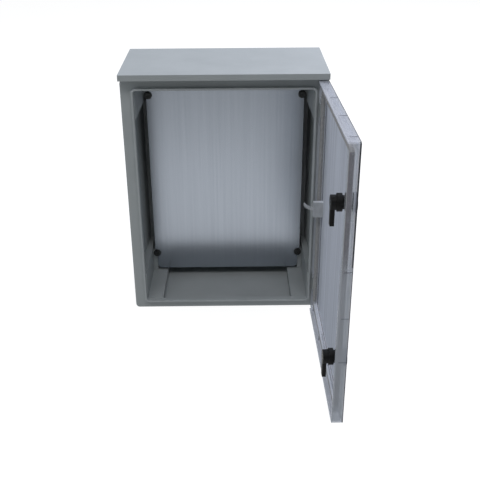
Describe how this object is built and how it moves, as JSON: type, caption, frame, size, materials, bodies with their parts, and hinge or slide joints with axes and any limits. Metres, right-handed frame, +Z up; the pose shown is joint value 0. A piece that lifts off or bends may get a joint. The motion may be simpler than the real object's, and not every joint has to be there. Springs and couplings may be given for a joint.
{
  "type": "wall enclosure",
  "caption": "Grey moulded wall enclosure with a rain hood, a galvanised mounting plate inside, and a clear hinged door with quarter-turn locks and a foam gasket.",
  "frame": {"origin": "On the rear face that goes against the wall, midway between the four wall fixings.", "axes": "+X to the right seen from the front, +Y out of the rear face to the wall, +Z up."},
  "size_m": [0.407, 0.5975, 0.5205],
  "materials": {
    "moulded_grey": "light grey glass-reinforced polyester with a fine moulded grain",
    "clear_plastic": "clear polycarbonate, glossy",
    "milky_plastic": "translucent moulded plastic",
    "galvanised_sheet": "satin galvanised steel sheet",
    "zinc_steel": "zinc-plated steel",
    "black_steel": "blackened steel",
    "insert_brass": "plain brass",
    "lock_black": "black moulded plastic",
    "gasket_foam": "brownish grey foam",
    "seal_rubber": "black rubber"
  },
  "bodies": {
    "enclosure": {"enclosure_body": "moulded_grey", "wall_inserts": "insert_brass", "rain_hood": "moulded_grey", "hood_screws": "zinc_steel", "hood_washers": "zinc_steel", "plate_pillars": "moulded_grey", "mounting_plate": "galvanised_sheet", "plate_screws": "black_steel", "plate_washers": "black_steel", "plate_inserts": "insert_brass", "upper_hinge_bracket": "moulded_grey", "lower_hinge_bracket": "moulded_grey", "hinge_screws": "zinc_steel", "upper_hinge_pin": "zinc_steel", "lower_hinge_pin": "zinc_steel"},
    "door": {"door": "clear_plastic", "door_gasket": "gasket_foam", "hinge_hook": "milky_plastic", "upper_lock_barrel": "lock_black", "upper_lock_seal": "seal_rubber", "upper_lock_nut": "lock_black", "lower_lock_barrel": "lock_black", "lower_lock_seal": "seal_rubber", "lower_lock_nut": "lock_black"},
    "upper_lock": {"upper_lock_core": "zinc_steel", "upper_lock_cam": "lock_black", "upper_cam_screw": "black_steel"},
    "lower_lock": {"lower_lock_core": "zinc_steel", "lower_lock_cam": "lock_black", "lower_cam_screw": "black_steel"}
  },
  "joints": [
    {"name": "door_hinge", "type": "hinge", "parent": "enclosure", "child": "door", "pos_m": [0.188, -0.2125, 0], "axis": [0, 0, 1], "range_deg": [-90, 10]},
    {"name": "upper_lock_turn", "type": "hinge", "parent": "door", "child": "upper_lock", "pos_m": [0.1988, -0.5547, 0.141], "axis": [-1, 0, 0], "range_deg": [0, 90]},
    {"name": "lower_lock_turn", "type": "hinge", "parent": "door", "child": "lower_lock", "pos_m": [0.1988, -0.5547, -0.141], "axis": [-1, 0, 0], "range_deg": [0, 90]}
  ]
}
